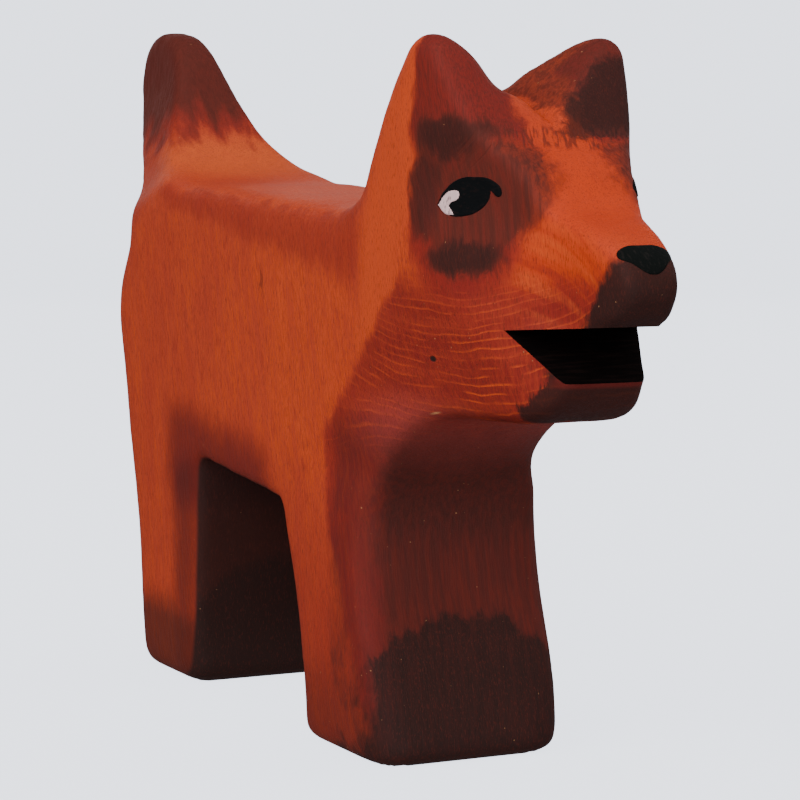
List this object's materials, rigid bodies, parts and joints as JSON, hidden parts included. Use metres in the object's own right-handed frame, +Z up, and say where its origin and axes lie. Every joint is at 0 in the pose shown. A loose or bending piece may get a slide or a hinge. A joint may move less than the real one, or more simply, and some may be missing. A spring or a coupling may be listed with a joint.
{
  "type": "wooden dog figurine",
  "caption": "Small hand-carved wooden dog with pointed ears, open mouth and raised tail, standing on flat feet as a shelf ornament.",
  "frame": {"origin": "on the ground, under the middle of the figure's bounding box", "axes": "+Z up, -Y the way the dog faces, +X the dog's left side, through the thickness of the plank"},
  "size_m": [0.024, 0.1344, 0.0837],
  "materials": {
    "stained_wood": "red-brown stain rubbed into sanded wood, satin",
    "black_paint": "thin brushed black paint, low sheen",
    "white_paint": "thin brushed white paint, matte"
  },
  "bodies": {
    "root": {"carved_body": "stained_wood", "right_eye": "black_paint", "left_eye": "black_paint", "nose": "black_paint", "right_eye_highlight": "white_paint", "left_eye_highlight": "white_paint"}
  },
  "joints": []
}
